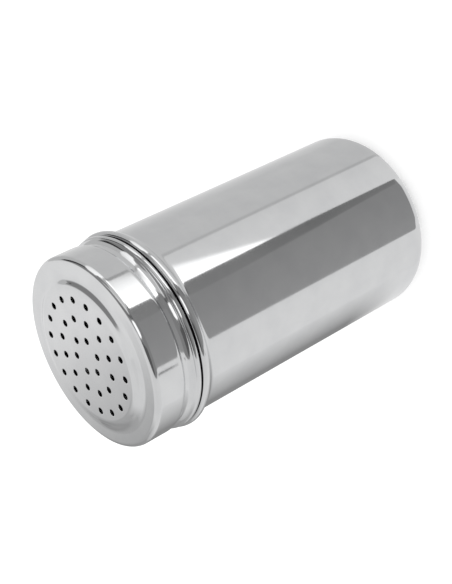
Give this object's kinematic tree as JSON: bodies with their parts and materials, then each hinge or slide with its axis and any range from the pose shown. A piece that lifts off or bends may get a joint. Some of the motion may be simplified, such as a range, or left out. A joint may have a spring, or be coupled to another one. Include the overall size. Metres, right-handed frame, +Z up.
{
  "type": "restaurant spice shaker dispenser",
  "caption": "Polished steel spice shaker: a drawn can with a rolled mouth bead and a pull-off perforated sifter lid.",
  "frame": {"origin": "centre of the base, on the plane the foot ring stands on", "axes": "+Z up along the can's axis, towards the perforated lid"},
  "size_m": [0.0706, 0.0706, 0.13],
  "materials": {
    "polished_steel": "polished"
  },
  "bodies": {
    "can": {"can": "polished_steel"},
    "lid": {"sifter_lid": "polished_steel"}
  },
  "joints": [
    {"name": "lid_pull", "type": "slide", "parent": "can", "child": "lid", "axis": [0, 0, 1], "range_m": [0, 0.03]}
  ]
}
